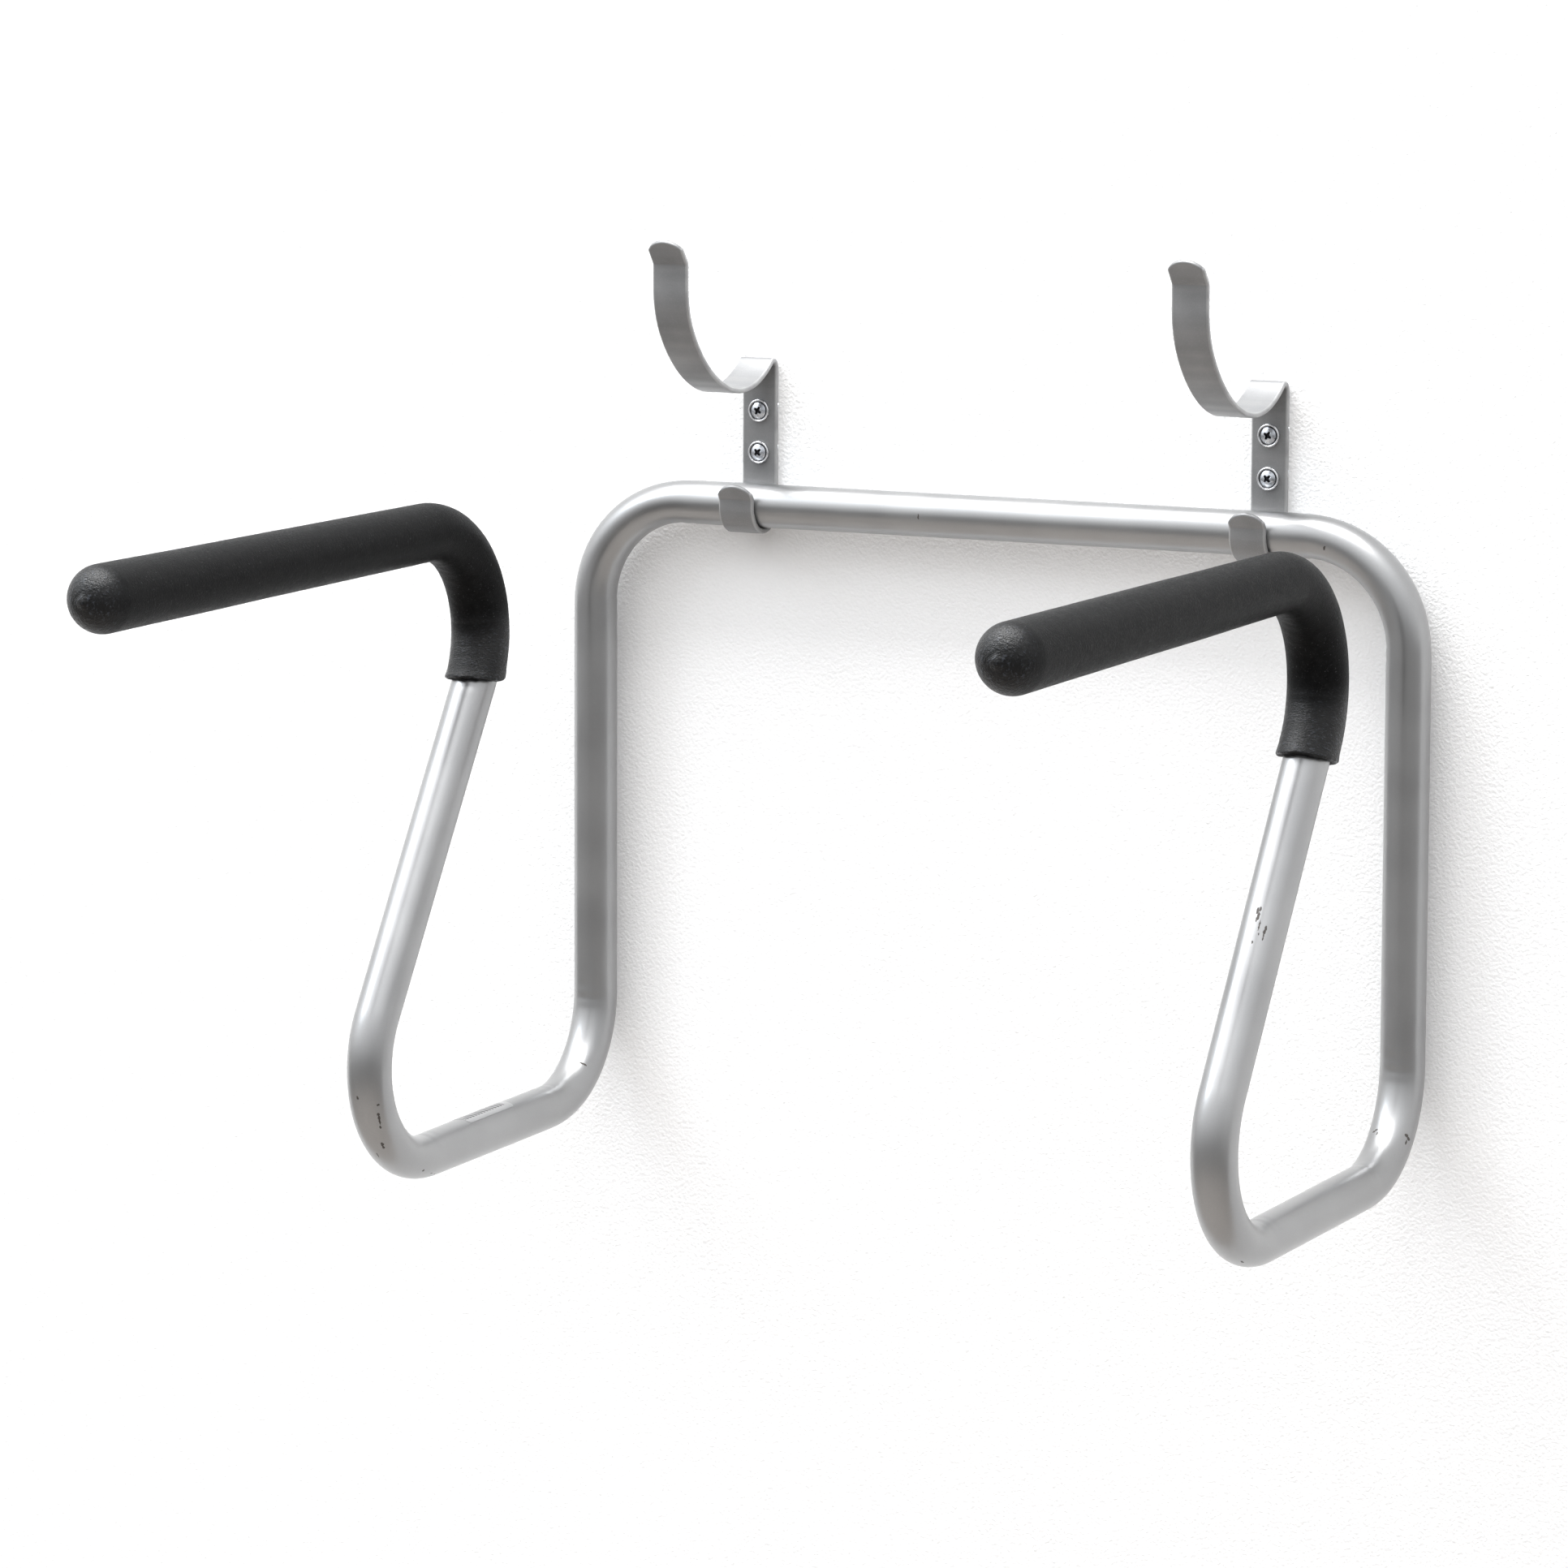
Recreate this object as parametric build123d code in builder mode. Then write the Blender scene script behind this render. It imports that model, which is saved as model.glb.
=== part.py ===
"""Wall-hung bent-tube bar: a one-piece tube frame with two foam grips, hung by its crossbar in two
strip-steel wall brackets, with their screws and washers. Millimetres, +Z up.

The origin is on the wall's face, in the middle of the four wall fixings. X runs along the
crossbar, +Y points into the wall, and the wall's face is the plane Y = 0.
"""
from build123d import *
from math import radians, sqrt, tan
import os

os.makedirs("parts", exist_ok=True)

# ---- driving dimensions -------------------------------------------------------------------
# Tube frame. Corners are where the centreline's straight runs would meet, on the +X side,
# measured from the middle of the crossbar.
tube_dia = 25.0
tube_wall = 1.5
shoulder = (255.0, 0.0, 0.0)
wall_foot = (255.0, 0.0, -347.0)
front_foot = (256.5, -302.0, -359.5)
elbow = (257.5, -80.0, -2.5)
grip_tip = (262.5, -511.0, -10.0)
shoulder_bend = 61.0      # centreline bend radii
wall_foot_bend = 61.0
front_foot_bend = 56.5
elbow_bend = 60.0

# Foam sleeves.
foam_bore_gap = 0.2
foam_r_bend = 16.5        # stretched thin round the bend
foam_r_tip = 18.5
foam_below_bend = {"left": -5.0, "right": 8.0}    # minus: the sleeve starts inside the bend
foam_cut_tilt = {"left": 24.0, "right": 14.0}     # degrees, the sleeve's lower end off square
nub_r = 4.0               # moulded nub on the sleeve's domed end
nub_h = 1.2

# Plastic insert in each open tube end.
insert_flange_t = 2.0
insert_depth = 16.0
insert_core_r = 8.5
insert_ribs = 4
insert_gap = 0.1

# Wall brackets, bent from flat strip.
bracket_x = {"left": -159.5, "right": 159.5}
strip_w = 22.0
strip_t = 3.0
strip_edge_r = 1.2
saddle_gap = 0.5          # between the tube and the hook that holds it
saddle_rise = 3.5         # straight part of the front lip, above the tube's centre
lip_flare = 33.0          # degrees out from vertical
lip_length = 8.5
top_rise = 78.8           # from the tube's centre to where the strip turns over
top_bend = 3.5
back_slope = 41.5         # degrees below level where the upper hook starts down
hook_arcs = [(53.75, 61.0), (78.75, 38.5), (50.25, 32.0)]  # radius, degrees, from the wall out
hook_front_rise = 12.0
hook_flare = 36.0
hook_tip_length = 15.0
flare_bend = 4.0
end_round_r = 12.7        # both ends of the strip are cut round

# Screws and washers.
screw_pitch = 24.0
screws_above_bar = 41.2   # middle of the two screws, above the tube's centre
screw_hole_r = 2.75
washer_r = 6.5
washer_seat_t = 0.6       # under the screw head
washer_rim_t = 1.7        # raised rim round the head
washer_rim_w = 1.1
washer_rim_round = 0.4
head_r = 4.6
head_h = 1.9
head_edge = 0.6
neck_r = 2.1              # plain neck under the head
thread_r = 2.5
thread_start = 0.2        # behind the wall's face
screw_length = 45.0       # under the head
screw_point = 5.0
recess_w = 1.2
recess_span = 5.0
recess_depth = 1.4
recess_taper = 10.0
recess_turn = {"lower": 45.0, "upper": 60.0}

# Blank label on top of the left bottom run.
label_from_foot = 147.0
label_length = 50.0
label_half_angle = 31.0
label_t = 0.15
label_gap = 0.02

# Where the crossbar lies in its hooks: it hangs a little to the left of the brackets' middle.
bar_shift_x = -4.5

# ---- worked-out dimensions ------------------------------------------------------------------
tube_r = tube_dia / 2
bore_r = tube_r - tube_wall
saddle_r = tube_r + saddle_gap + strip_t / 2      # centreline radius of the tube's hook
bar_y = -(saddle_r + strip_t / 2)
bar_z = -screws_above_bar
screw_z = {"lower": -screw_pitch / 2, "upper": screw_pitch / 2}
UP = Vector(0, 0, 1)
ALONG_BAR = Vector(1, 0, 0)


def on_side(side, point):
    """A tube corner placed in the hooks, mirrored across the bar's middle for the left side."""
    x = -point[0] if side == "left" else point[0]
    return Vector(bar_shift_x + x, bar_y + point[1], bar_z + point[2])


def crown_radius(half_width, rise):
    """Radius of a domed top of this half width and rise."""
    return (half_width**2 + rise**2) / (2 * rise)


def finish(builder, name):
    """Label a piece and write its STEP file."""
    builder.part.label = name
    export_step(builder.part, f"parts/{name}.step")


# ---- tube frame -----------------------------------------------------------------------------
right_side = [shoulder, wall_foot, front_foot, elbow, grip_tip]
right_bends = [shoulder_bend, wall_foot_bend, front_foot_bend, elbow_bend]
frame_corners = [on_side("left", p) for p in reversed(right_side)]
frame_corners += [on_side("right", p) for p in right_side]

with BuildPart() as tube_frame:
    with BuildLine() as centreline:
        FilletPolyline(*frame_corners, radius=right_bends[::-1] + right_bends)
    with BuildSketch(Plane(centreline.wire() @ 0, z_dir=centreline.wire() % 0)):
        Circle(tube_r)
        Circle(bore_r, mode=Mode.SUBTRACT)
    sweep(path=centreline.wire())

finish(tube_frame, "tube_frame")

# ---- tube end inserts -----------------------------------------------------------------------
for side in ("left", "right"):
    tip = on_side(side, grip_tip)
    grip_dir = (tip - on_side(side, elbow)).normalized()
    grip_plane = Plane(tip, x_dir=grip_dir, z_dir=grip_dir.cross(UP).normalized())
    rib_pitch = insert_depth / insert_ribs
    rib_r = bore_r - insert_gap

    with BuildPart() as end_insert:
        with BuildSketch(grip_plane):
            with Locations((-insert_depth / 2, insert_core_r / 2)):
                Rectangle(insert_depth, insert_core_r)
            with Locations([(-rib_pitch * (k + 0.5), rib_r / 2) for k in range(insert_ribs)]):
                Rectangle(rib_pitch * 0.4, rib_r)
            with Locations((insert_flange_t / 2, tube_r / 2)):
                Rectangle(insert_flange_t, tube_r)
        revolve(axis=Axis(tip, grip_dir))
        outer_rim = end_insert.edges().filter_by(GeomType.CIRCLE).sort_by(Axis(tip, grip_dir))[-1]
        fillet(outer_rim, insert_flange_t * 0.4)

    finish(end_insert, f"tube_end_insert_{side}")

# ---- foam grips -----------------------------------------------------------------------------
for side in ("left", "right"):
    foot, corner, tip = [on_side(side, p) for p in (front_foot, elbow, grip_tip)]
    grip_dir = (tip - corner).normalized()
    grip_plane = Plane(tip, x_dir=grip_dir, z_dir=grip_dir.cross(UP).normalized())
    sleeve_bore_r = tube_r + foam_bore_gap

    with BuildPart() as foam_grip:
        with BuildLine(mode=Mode.PRIVATE):
            sleeve_run = FilletPolyline(foot, corner, tip, radius=elbow_bend)
        leg, bend, straight = sleeve_run.edges()
        cut_tilt = foam_cut_tilt[side]
        cut_at = leg @ ((leg.length - foam_below_bend[side]) / leg.length)
        below = foam_below_bend[side] + foam_r_bend * tan(radians(cut_tilt))
        bent_run = Wire([leg, bend])
        bent_run = bent_run.trim((leg.length - below) / bent_run.length, 1.0)
        with BuildSketch(Plane(bent_run @ 0, z_dir=bent_run % 0)):
            Circle(foam_r_bend)
            Circle(sleeve_bore_r, mode=Mode.SUBTRACT)
        sweep(path=bent_run)
        cut_dir = (leg % 0).rotate(Axis.X, cut_tilt)
        split(bisect_by=Plane(cut_at, z_dir=cut_dir), keep=Keep.TOP)
        # Straight sleeve, swelling to a domed end with a small nub.
        nub_x = sqrt(foam_r_tip**2 - nub_r**2)
        pocket_x = insert_flange_t + foam_bore_gap
        with BuildSketch(grip_plane):
            with BuildLine():
                side_line = Line((-straight.length, foam_r_bend), (0, foam_r_tip))
                dome = RadiusArc(side_line @ 1, (nub_x, nub_r), foam_r_tip)
                nub_end = (foam_r_tip + nub_h, 0)
                nub = RadiusArc(dome @ 1, nub_end, crown_radius(nub_r, nub_end[0] - nub_x))
                Polyline(nub @ 1, (pocket_x, 0), (pocket_x, sleeve_bore_r),
                         (-straight.length, sleeve_bore_r), side_line @ 0)
            make_face()
        revolve(axis=Axis(tip, grip_dir))

    finish(foam_grip, f"foam_grip_{side}")

# ---- blank label ----------------------------------------------------------------------------
foot = on_side("left", front_foot)
run_dir = (on_side("left", wall_foot) - foot).normalized()
label_start = foot + run_dir * label_from_foot

with BuildPart() as blank_label:
    with BuildSketch(Plane(label_start, x_dir=UP.cross(run_dir).normalized(), z_dir=run_dir)):
        with BuildLine():
            first = 90 - label_half_angle
            inner = CenterArc((0, 0), tube_r + label_gap, first, 2 * label_half_angle)
            outer = CenterArc((0, 0), tube_r + label_gap + label_t, first, 2 * label_half_angle)
            Line(inner @ 0, outer @ 0)
            Line(inner @ 1, outer @ 1)
        make_face()
    extrude(amount=label_length)

finish(blank_label, "blank_label")

# ---- wall brackets --------------------------------------------------------------------------
for side, centre_x in bracket_x.items():
    with BuildPart() as wall_bracket:
        side_view = Plane((centre_x, bar_y, bar_z), x_dir=(0, 1, 0), z_dir=ALONG_BAR)
        with BuildLine(side_view) as strip_line:
            plate = Line((saddle_r, 0), (saddle_r, top_rise))
            # Down and under the tube, up its front, and out to the lip.
            saddle = JernArc(plate @ 0, (plate % 0) * -1, saddle_r, -180)
            lip_rise = Line(saddle @ 1, saddle @ 1 + UP * saddle_rise)
            lip_bend = JernArc(lip_rise @ 1, lip_rise % 1, flare_bend, lip_flare)
            lip = Line(lip_bend @ 1, lip_bend @ 1 + (lip_bend % 1) * lip_length)
            # Over the top, down into the large hook, and up to its flared tip.
            run = JernArc(plate @ 1, plate % 1, top_bend, 90 + back_slope)
            for radius, turn in hook_arcs:
                run = JernArc(run @ 1, run % 1, radius, -turn)
            rise = Line(run @ 1, run @ 1 + UP * hook_front_rise)
            tip_bend = JernArc(rise @ 1, rise % 1, flare_bend, hook_flare)
            tip = Line(tip_bend @ 1, tip_bend @ 1 + (tip_bend % 1) * hook_tip_length)
        strip = strip_line.wire()
        with BuildSketch(Plane(strip @ 0, x_dir=ALONG_BAR, z_dir=strip % 0)):
            RectangleRounded(strip_w, strip_t, strip_edge_r)
        sweep(path=strip)
        # Round off both ends of the strip.
        round_h = end_round_r - sqrt(end_round_r**2 - (strip_w / 2) ** 2)
        for end in (lip, tip):
            end_plane = Plane(end @ 1, x_dir=ALONG_BAR, z_dir=ALONG_BAR.cross(end % 1))
            with BuildSketch(end_plane):
                with Locations((0, -round_h / 2 + 1)):
                    Rectangle(strip_w + 2, round_h + 2)
                with Locations((0, -end_round_r)):
                    Circle(end_round_r, mode=Mode.SUBTRACT)
            extrude(amount=strip_t, both=True, mode=Mode.SUBTRACT)
        with BuildSketch(Plane.XZ):
            with Locations([(centre_x, z) for z in screw_z.values()]):
                Circle(screw_hole_r)
        extrude(amount=strip_t * 2, mode=Mode.SUBTRACT)

    finish(wall_bracket, f"wall_bracket_{side}")

# ---- screws and washers ---------------------------------------------------------------------
for side, centre_x in bracket_x.items():
    for level, z in screw_z.items():
        place = f"{side}_{level}"
        out_of_wall = Axis((centre_x, -strip_t, z), (0, -1, 0))
        # Profile plane: x out of the wall from the plate's front, y away from the screw's axis.
        profile = Plane(out_of_wall.position, x_dir=out_of_wall.direction, z_dir=ALONG_BAR)

        with BuildPart() as washer:
            rim_inner_r = washer_r - washer_rim_w
            with BuildSketch(profile):
                with BuildLine():
                    Polyline((0, screw_hole_r), (washer_seat_t, screw_hole_r),
                             (washer_seat_t, rim_inner_r), (washer_rim_t, rim_inner_r),
                             (washer_rim_t, washer_r), (0, washer_r), close=True)
                make_face()
            revolve(axis=out_of_wall)
            rim_edges = washer.edges().filter_by(GeomType.CIRCLE).group_by(Axis.Y)[0]
            fillet(rim_edges, washer_rim_round)
        finish(washer, f"washer_{place}")

        with BuildPart() as screw:
            head_base = washer_seat_t
            head_top = head_base + head_h
            tip = head_base - screw_length
            thread_x = -strip_t - thread_start
            with BuildSketch(profile):
                with BuildLine():
                    Polyline((tip, 0), (tip + screw_point, thread_r), (thread_x, thread_r),
                             (thread_x, neck_r), (head_base, neck_r), (head_base, head_r),
                             (head_base + head_edge, head_r))
                    crown = RadiusArc((head_base + head_edge, head_r), (head_top, 0),
                                      crown_radius(head_r, head_h - head_edge))
                    Line(crown @ 1, (tip, 0))
                make_face()
            revolve(axis=out_of_wall)
            with BuildSketch(Plane.XZ.offset(strip_t + head_top)):
                with Locations(Location((centre_x, z, 0), (0, 0, recess_turn[level]))):
                    Rectangle(recess_span, recess_w)
                    Rectangle(recess_w, recess_span)
            extrude(amount=-recess_depth, taper=recess_taper, mode=Mode.SUBTRACT)
        finish(screw, f"screw_{place}")
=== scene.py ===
"""Looks of the wall-hung bent-tube bar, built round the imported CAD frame.

Pieces are worked out in millimetres, and make_object turns them into metres. The camera, the lights, the
wall and the floor are in metres from the start. +Z is up, +Y goes into the wall, and the origin is on the
wall's face, in the middle of the four screws.
"""
import bmesh
import bpy
import math
from collections import namedtuple
from mathutils import Matrix, Quaternion, Vector, noise

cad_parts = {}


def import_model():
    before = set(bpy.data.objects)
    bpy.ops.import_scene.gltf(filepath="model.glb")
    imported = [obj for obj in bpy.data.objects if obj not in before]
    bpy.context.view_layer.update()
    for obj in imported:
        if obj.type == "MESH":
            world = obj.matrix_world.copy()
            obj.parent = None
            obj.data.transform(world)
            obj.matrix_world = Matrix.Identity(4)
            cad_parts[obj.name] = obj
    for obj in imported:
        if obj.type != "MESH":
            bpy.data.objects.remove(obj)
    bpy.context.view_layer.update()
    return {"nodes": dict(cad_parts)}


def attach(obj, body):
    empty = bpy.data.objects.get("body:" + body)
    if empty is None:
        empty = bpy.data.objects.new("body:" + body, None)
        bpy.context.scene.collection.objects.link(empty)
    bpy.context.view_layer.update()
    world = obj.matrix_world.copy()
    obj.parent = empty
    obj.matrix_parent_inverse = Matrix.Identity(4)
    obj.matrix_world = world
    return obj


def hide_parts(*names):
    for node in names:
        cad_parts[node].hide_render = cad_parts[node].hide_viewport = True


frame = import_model()

MM = 0.001
TURN = 2 * math.pi
X, Y, Z = Vector((1, 0, 0)), Vector((0, 1, 0)), Vector((0, 0, 1))

# ---- the CAD's driving dimensions, in millimetres -----------------------------------------------
# Tube: the right side's corners, from the middle of the crossbar to the grip's tip, and the bend radius
# at each corner before the tip.
BAR_MIDDLE = Vector((-4.5, -16.0, -41.2))
TUBE_R, BORE_R = 12.5, 11.0
CORNERS = [(255.0, 0.0, 0.0), (255.0, 0.0, -347.0), (256.5, -302.0, -359.5),
           (257.5, -80.0, -2.5), (262.5, -511.0, -10.0)]
BENDS = [61.0, 61.0, 56.5, 60.0]

# Foam: the sleeve thickens from the bend to the tip, and its lower end is cut at a slant.
FOAM_BORE_R, FOAM_R_BEND, FOAM_R_TIP = 12.7, 16.5, 18.5
FOAM_BELOW_BEND = {"left": -5.0, "right": 8.0}
FOAM_CUT_TILT = {"left": 24.0, "right": 14.0}
NUB_R, NUB_H, POCKET = 4.0, 1.2, 2.2

# Brackets: strip bent to a lip and a saddle for the crossbar, a plate, and a large hook.
BRACKET_X = {"left": -159.5, "right": 159.5}
STRIP_W, STRIP_T, STRIP_EDGE, END_ROUND = 22.0, 3.0, 1.2, 12.7
LIP_RISE, LIP_FLARE, LIP_LENGTH, SADDLE_R = 3.5, 33.0, 8.5, 14.5
TOP_RISE, TOP_BEND, BACK_SLOPE = 78.8, 3.5, 41.5
HOOK_ARCS = [(53.75, 61.0), (78.75, 38.5), (50.25, 32.0)]
HOOK_RISE, HOOK_FLARE, HOOK_TIP, FLARE_BEND = 12.0, 36.0, 15.0, 4.0

# Screws and washers.
SCREWS_Z = {"lower": -12.0, "upper": 12.0}
SCREW_HOLE_R = 2.75
WASHER_R, WASHER_SEAT, WASHER_RIM, WASHER_RIM_W = 6.5, 0.6, 1.7, 1.1
HEAD_R, HEAD_H, HEAD_EDGE = 4.6, 1.9, 0.6
THREAD_R, ROOT_R, NECK_R, SCREW_LENGTH, SCREW_POINT = 2.5, 1.85, 2.1, 45.0, 6.0
RECESS_TURN = {"lower": 45.0, "upper": 60.0}
RECESS_W, RECESS_SPAN, RECESS_DEPTH = 1.45, 5.2, 1.4

# Label, on the left bottom run.
LABEL_FROM_FOOT, LABEL_LENGTH, LABEL_HALF = 147.0, 50.0, 31.0
LABEL_LIFT, LABEL_T = 0.02, 0.15


# ---- centrelines --------------------------------------------------------------------------------
Piece = namedtuple("Piece", "start length pos heading across axis radius")


class Run:
    """A line of straights and arcs, with a frame that turns with it and doesn't twist."""

    def __init__(self, start, heading, across):
        self.pieces, self.length = [], 0.0
        self.end = (Vector(start), Vector(heading).normalized(), Vector(across).normalized())

    def line(self, length):
        pos, heading, across = self.end
        self.pieces.append(Piece(self.length, length, pos, heading, across, None, 0.0))
        self.length += length
        self.end = (pos + heading * length, heading, across)
        return self

    def arc(self, radius, angle, axis):
        pos, heading, across = self.end
        turn = Quaternion(axis, angle)
        centre = pos + axis.cross(heading) * radius
        self.pieces.append(Piece(self.length, radius * angle, pos, heading, across, axis, radius))
        self.length += radius * angle
        self.end = (centre + turn @ (pos - centre), turn @ heading, turn @ across)
        return self

    def at(self, s):
        """Position, heading, across and the third axis at this distance along."""
        piece = self.pieces[0]
        for p in self.pieces:
            if s >= p.start:
                piece = p
        start, _, pos, heading, across, axis, radius = piece
        if axis is None:
            pos = pos + heading * (s - start)
        else:
            turn = Quaternion(axis, (s - start) / radius)
            centre = pos + axis.cross(heading) * radius
            pos, heading, across = centre + turn @ (pos - centre), turn @ heading, turn @ across
        return pos, heading, across, heading.cross(across)

    def arcs(self):
        """(start, end, angle of the inner side in the frame) of each arc."""
        found = []
        for p in self.pieces:
            if p.axis is not None:
                inner = p.axis.cross(p.heading)
                angle = math.atan2(inner.dot(p.heading.cross(p.across)), inner.dot(p.across))
                found.append((p.start, p.start + p.length, angle))
        return found


def run_through(corners, radii):
    """A run through these corners with these bend radii."""
    corners = [Vector(c) for c in corners]
    headings = [(b - a).normalized() for a, b in zip(corners, corners[1:])]
    lengths = [(b - a).length for a, b in zip(corners, corners[1:])]
    turns = [a.angle(b) for a, b in zip(headings, headings[1:])]
    backs = [r * math.tan(t / 2) for r, t in zip(radii, turns)]
    run = Run(corners[0], headings[0], headings[0].cross(Z))
    for i, length in enumerate(lengths):
        before = backs[i - 1] if i else 0.0
        after = backs[i] if i < len(backs) else 0.0
        run.line(length - before - after)
        if i < len(backs):
            run.arc(radii[i], turns[i], headings[i].cross(headings[i + 1]).normalized())
    return run


def on_side(side, point):
    """A right-side point, from the middle of the crossbar, on this side of the frame."""
    x = -point[0] if side == "left" else point[0]
    return BAR_MIDDLE + Vector((x, point[1], point[2]))


def smooth(low, high, x):
    """0 below low and 1 above high, with an S-curve between."""
    t = min(1.0, max(0.0, (x - low) / (high - low)))
    return t * t * (3 - 2 * t)


def around(count):
    """This many angles, evenly round a full turn."""
    return [TURN * k / count for k in range(count)]


# ---- meshes -------------------------------------------------------------------------------------
MERGE = 0.001 * MM


def put_in_scene(name, data):
    obj = bpy.data.objects.new(name, data)
    bpy.context.collection.objects.link(obj)
    return obj


def make_object(name, verts, faces, along=None, sharp=38.0, floats=None):
    """A smooth-shaded object from millimetre points. along holds each point's place on its run."""
    mesh = bpy.data.meshes.new(name)
    mesh.from_pydata([Vector(v) * MM for v in verts], [], faces)
    if along:
        attribute = mesh.attributes.new("run", "FLOAT_VECTOR", "POINT")
        attribute.data.foreach_set("vector", [c * MM for v in along for c in v])
    for key, values in (floats or {}).items():
        mesh.attributes.new(key, "FLOAT", "POINT").data.foreach_set("value", values)
    bm = bmesh.new()
    bm.from_mesh(mesh)
    bmesh.ops.remove_doubles(bm, verts=bm.verts, dist=MERGE)
    bmesh.ops.dissolve_degenerate(bm, edges=bm.edges, dist=MERGE)
    bmesh.ops.recalc_face_normals(bm, faces=bm.faces)
    for f in bm.faces:
        f.smooth = True
    for e in bm.edges:
        e.smooth = len(e.link_faces) < 2 or e.calc_face_angle() < math.radians(sharp)
    bm.to_mesh(mesh)
    bm.free()
    return put_in_scene(name, mesh)


def dress(obj, material):
    obj.data.materials.clear()
    obj.data.materials.append(material)


def skin(rings, looped=False):
    """Points and quads over rings of equal counts. A ring of one point is a pole."""
    verts, faces, starts = [], [], []
    for ring in rings:
        starts.append(len(verts))
        verts += ring
    pairs = list(zip(range(len(rings)), range(1, len(rings))))
    if looped:
        pairs.append((len(rings) - 1, 0))
    for i, j in pairs:
        a, b, na, nb = starts[i], starts[j], len(rings[i]), len(rings[j])
        n = max(na, nb)
        for k in range(n):
            m = (k + 1) % n
            if na == 1:
                faces.append((a, b + k, b + m))
            elif nb == 1:
                faces.append((a + k, b, a + m))
            else:
                faces.append((a + k, b + k, b + m, a + m))
    return verts, faces


def lathe(name, base, out, profile, segments, sharp, shape=None):
    """Turns (distance out, radius) pairs round the line from base along out."""
    side = X - out * X.dot(out)
    side.normalize()
    up = out.cross(side)
    rings, along = [], []
    for d, r in profile:
        ring = []
        for a in around(segments) if r else [0.0]:
            radius = r if shape is None else shape(d, r, a)
            ring.append(base + out * d + (side * math.cos(a) + up * math.sin(a)) * radius)
            along.append((d, radius * math.cos(a), radius * math.sin(a)))
        rings.append(ring)
    return make_object(name, *skin(rings), along, sharp)


def cut(obj, cutter):
    """Cuts one object out of another, and the new faces keep the cutter's material."""
    modifier = obj.modifiers.new("cut", "BOOLEAN")
    modifier.material_mode = "TRANSFER"
    modifier.operation, modifier.solver, modifier.object = "DIFFERENCE", "EXACT", cutter
    bpy.context.view_layer.update()
    graph = bpy.context.evaluated_depsgraph_get()
    result = bpy.data.meshes.new_from_object(obj.evaluated_get(graph))
    obj.modifiers.clear()
    obj.data = result
    bpy.data.objects.remove(cutter)


# ---- tube frame ---------------------------------------------------------------------------------
TUBE_SEGMENTS = 72
TUBE_STEP, TUBE_BEND_STEP, BEND_REACH = 8.0, 1.5, 18.0
# A bend is a little oval, and its inside ripples where it starts and ends.
OVALNESS, OVAL_SWELL, OVAL_IN, OVAL_OUT = 0.035, 0.35, 14.0, 12.0
CREASE, CREASE_WAVE, CREASE_SPREAD, CREASE_REACH = 0.16, 9.0, 8.0, 30.0


def tube_radius(s, angle, bends):
    r = TUBE_R
    for start, end, inner in bends:
        if start - CREASE_REACH < s < end + CREASE_REACH:
            weight = smooth(start - OVAL_OUT, start + OVAL_IN, s)
            weight *= 1 - smooth(end - OVAL_IN, end + OVAL_OUT, s)
            c = math.cos(angle - inner)
            r -= TUBE_R * OVALNESS * weight * (c * c - OVAL_SWELL * (1 - c * c))
            if c > 0:
                for x in (s - start, s - end):
                    wave = math.cos(TURN * x / CREASE_WAVE)
                    r += CREASE * c**3 * wave * math.exp(-(x / CREASE_SPREAD) ** 2)
    return r


def tube_frame():
    corners = [on_side("left", c) for c in reversed(CORNERS)] + [on_side("right", c) for c in CORNERS]
    run = run_through(corners, BENDS[::-1] + BENDS)
    bends = run.arcs()
    stations, s = [0.0], 0.0
    while s < run.length:
        near = any(start - BEND_REACH < s < end + BEND_REACH for start, end, _ in bends)
        s = min(run.length, s + (TUBE_BEND_STEP if near else TUBE_STEP))
        stations.append(s)

    angles = around(TUBE_SEGMENTS)
    rings, along = [], []

    def add_ring(s, nominal, radii):
        pos, _, n, b = run.at(s)
        rings.append([pos + (n * math.cos(a) + b * math.sin(a)) * r for a, r in zip(angles, radii)])
        along.extend((s, nominal * math.cos(a), nominal * math.sin(a)) for a in angles)

    for s in stations:
        add_ring(s, TUBE_R, [tube_radius(s, a, bends) for a in angles])
    for s in stations[::-3] + [0.0]:
        add_ring(s, BORE_R, [BORE_R] * TUBE_SEGMENTS)
    obj = make_object("tube", *skin(rings, looped=True), along, sharp=60)
    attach(obj, "frame")
    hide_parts("tube_frame")
    return obj


# ---- foam grips ---------------------------------------------------------------------------------
FOAM_SEGMENTS, FOAM_STEP, BORE_STEP, DOME_RINGS = 112, 1.6, 6.0, 40
FOAM_SEED = {"left": Vector((3.1, 7.7, 1.3)), "right": Vector((11.9, 2.4, 5.6))}
# Above the tilted cut, the rings of the outside and of the bore lean with it for this far.
SETTLE, BORE_SETTLE = 34.0, 30.0
# The cut end: its rounded edge, its flare, how ragged its line is, and how rough and hollow its face is.
CUT_ROUND, FLARE, FLARE_AT, FLARE_SPREAD = 0.9, 0.35, 1.5, 2.6
RAGGED, CUT_ROUGH, CUT_HOLLOW = (1.1, 0.45), 0.35, 0.25
# Unevenness of the outside, and the distances from the cut over which its crinkles and its gloss fade.
SWELL, RIPPLE, FOLD, CRINKLE = 0.20, 0.05, 0.06, 0.11
CRINKLE_FADE, GLOSS_FADE = (18.0, 40.0), (24.0, 46.0)


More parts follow.
